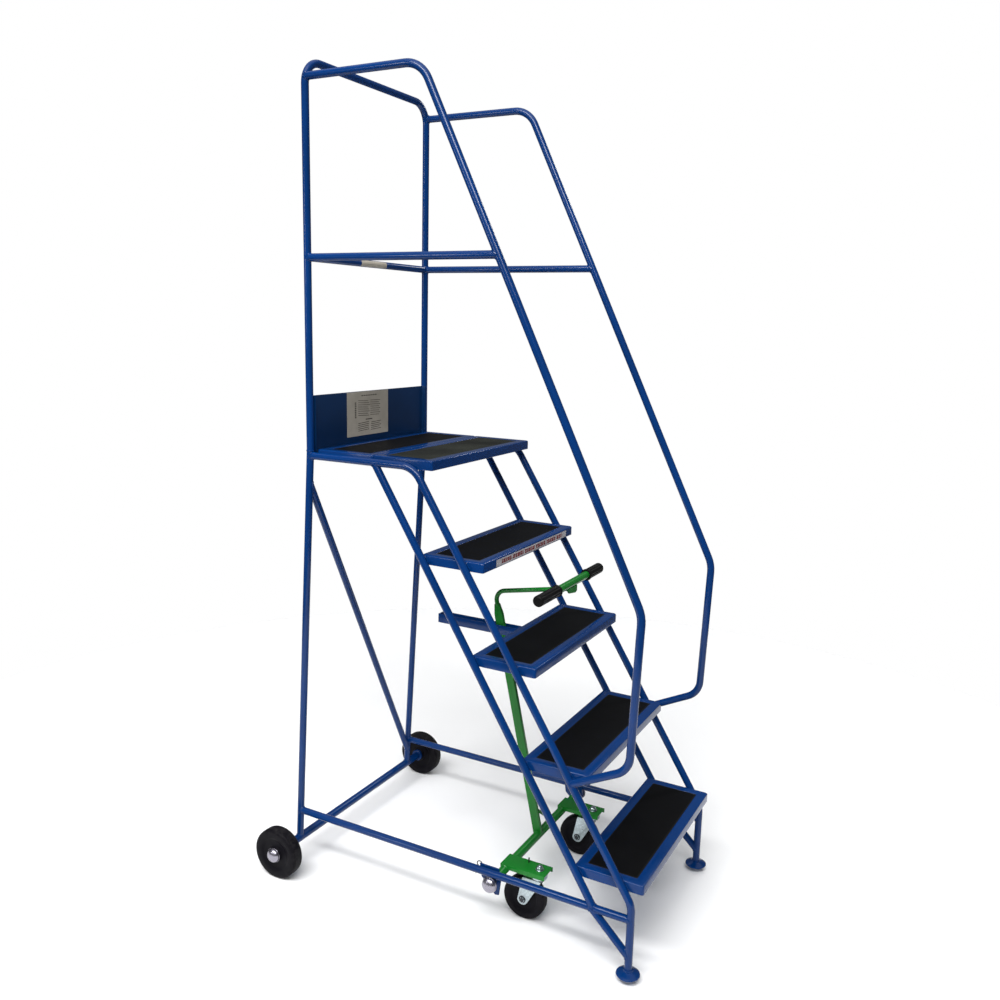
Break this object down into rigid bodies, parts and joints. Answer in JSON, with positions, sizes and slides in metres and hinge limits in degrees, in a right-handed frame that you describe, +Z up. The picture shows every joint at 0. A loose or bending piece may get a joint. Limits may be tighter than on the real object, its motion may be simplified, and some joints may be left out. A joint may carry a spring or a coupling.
{
  "type": "rolling warehouse ladder",
  "caption": "Mobile warehouse steps: tubular steel side frames with treads, platform and handrails, rear wheels, and swivel castors lowered by a hand lever.",
  "frame": {"origin": "bottom centre of the bounding box, on the floor under the middle of the steps", "axes": "+Z up, the climbing side faces -Y, the rear wheels are at +Y, and +X is to the right for a person facing the steps"},
  "size_m": [0.8386, 1.169, 2.2941],
  "materials": {
    "frame_blue": "semi-gloss blue powder coat over welded steel tube and sheet",
    "mat_black": "coarse grit anti-slip mat",
    "axle_steel": "bright drawn steel rod",
    "cap_chrome": "polished chrome plate",
    "lever_green": "gloss green paint",
    "grip_black": "moulded ribbed rubber",
    "castor_zinc": "bright zinc plated pressed steel",
    "wheel_rubber": "solid black rubber with a satin tread"
  },
  "bodies": {
    "frame": {"left_front_stringer": "frame_blue", "left_rear_leg": "frame_blue", "left_bottom_rail": "frame_blue", "left_rear_stringer": "frame_blue", "left_foot_brace": "frame_blue", "left_handrail": "frame_blue", "left_mid_rail": "frame_blue", "left_foot": "frame_blue", "right_front_stringer": "frame_blue", "right_rear_leg": "frame_blue", "right_bottom_rail": "frame_blue", "right_rear_stringer": "frame_blue", "right_foot_brace": "frame_blue", "right_handrail": "frame_blue", "right_mid_rail": "frame_blue", "right_foot": "frame_blue", "rear_hoop": "frame_blue", "rear_mid_rail": "frame_blue", "rear_axle_tube": "frame_blue", "rear_diagonal_brace": "frame_blue", "kick_board": "frame_blue", "tread_1": "frame_blue", "tread_2": "frame_blue", "tread_3": "frame_blue", "tread_4": "frame_blue", "platform_front_tray": "frame_blue", "platform_rear_tray": "frame_blue", "lever_guide": "frame_blue", "left_pivot_bracket": "frame_blue", "right_pivot_bracket": "frame_blue", "tread_1_mat": "mat_black", "tread_2_mat": "mat_black", "tread_3_mat": "mat_black", "tread_4_mat": "mat_black", "platform_front_mat": "mat_black", "platform_rear_mat": "mat_black", "rear_axle": "axle_steel", "pivot_axle": "axle_steel", "left_wheel_cap": "cap_chrome", "right_wheel_cap": "cap_chrome", "left_pivot_cap": "cap_chrome", "right_pivot_cap": "cap_chrome"},
    "castor_frame": {"castor_cross_tube": "lever_green", "lever_tube": "lever_green", "lever_strut": "lever_green", "handle_rod": "lever_green", "handle_crossbar": "lever_green", "left_castor_arm": "lever_green", "right_castor_arm": "lever_green", "left_grip": "grip_black", "right_grip": "grip_black", "left_castor_head": "castor_zinc", "right_castor_head": "castor_zinc"},
    "left_castor": {"left_castor_fork": "castor_zinc"},
    "right_castor": {"right_castor_fork": "castor_zinc"},
    "left_castor_roller": {"left_castor_wheel": "wheel_rubber"},
    "right_castor_roller": {"right_castor_wheel": "wheel_rubber"},
    "left_wheel": {"left_rear_wheel": "wheel_rubber"},
    "right_wheel": {"right_rear_wheel": "wheel_rubber"}
  },
  "joints": [
    {"name": "castor_lift", "type": "hinge", "parent": "frame", "child": "castor_frame", "pos_m": [0, -0.1535, 0.139], "axis": [1, 0, 0], "range_deg": [-14, 0]},
    {"name": "left_castor_swivel", "type": "hinge", "parent": "castor_frame", "child": "left_castor", "pos_m": [-0.186, -0.2495, 0.139], "axis": [0, 0, 1], "continuous": true},
    {"name": "right_castor_swivel", "type": "hinge", "parent": "castor_frame", "child": "right_castor", "pos_m": [0.186, -0.2495, 0.139], "axis": [0, 0, 1], "continuous": true},
    {"name": "left_castor_roll", "type": "hinge", "parent": "left_castor", "child": "left_castor_roller", "pos_m": [-0.186, -0.2085, 0.0625], "axis": [1, 0, 0], "continuous": true},
    {"name": "right_castor_roll", "type": "hinge", "parent": "right_castor", "child": "right_castor_roller", "pos_m": [0.186, -0.2085, 0.0625], "axis": [1, 0, 0], "continuous": true},
    {"name": "left_wheel_roll", "type": "hinge", "parent": "frame", "child": "left_wheel", "pos_m": [-0.382, 0.511, 0.075], "axis": [1, 0, 0], "continuous": true},
    {"name": "right_wheel_roll", "type": "hinge", "parent": "frame", "child": "right_wheel", "pos_m": [0.382, 0.511, 0.075], "axis": [1, 0, 0], "continuous": true}
  ]
}
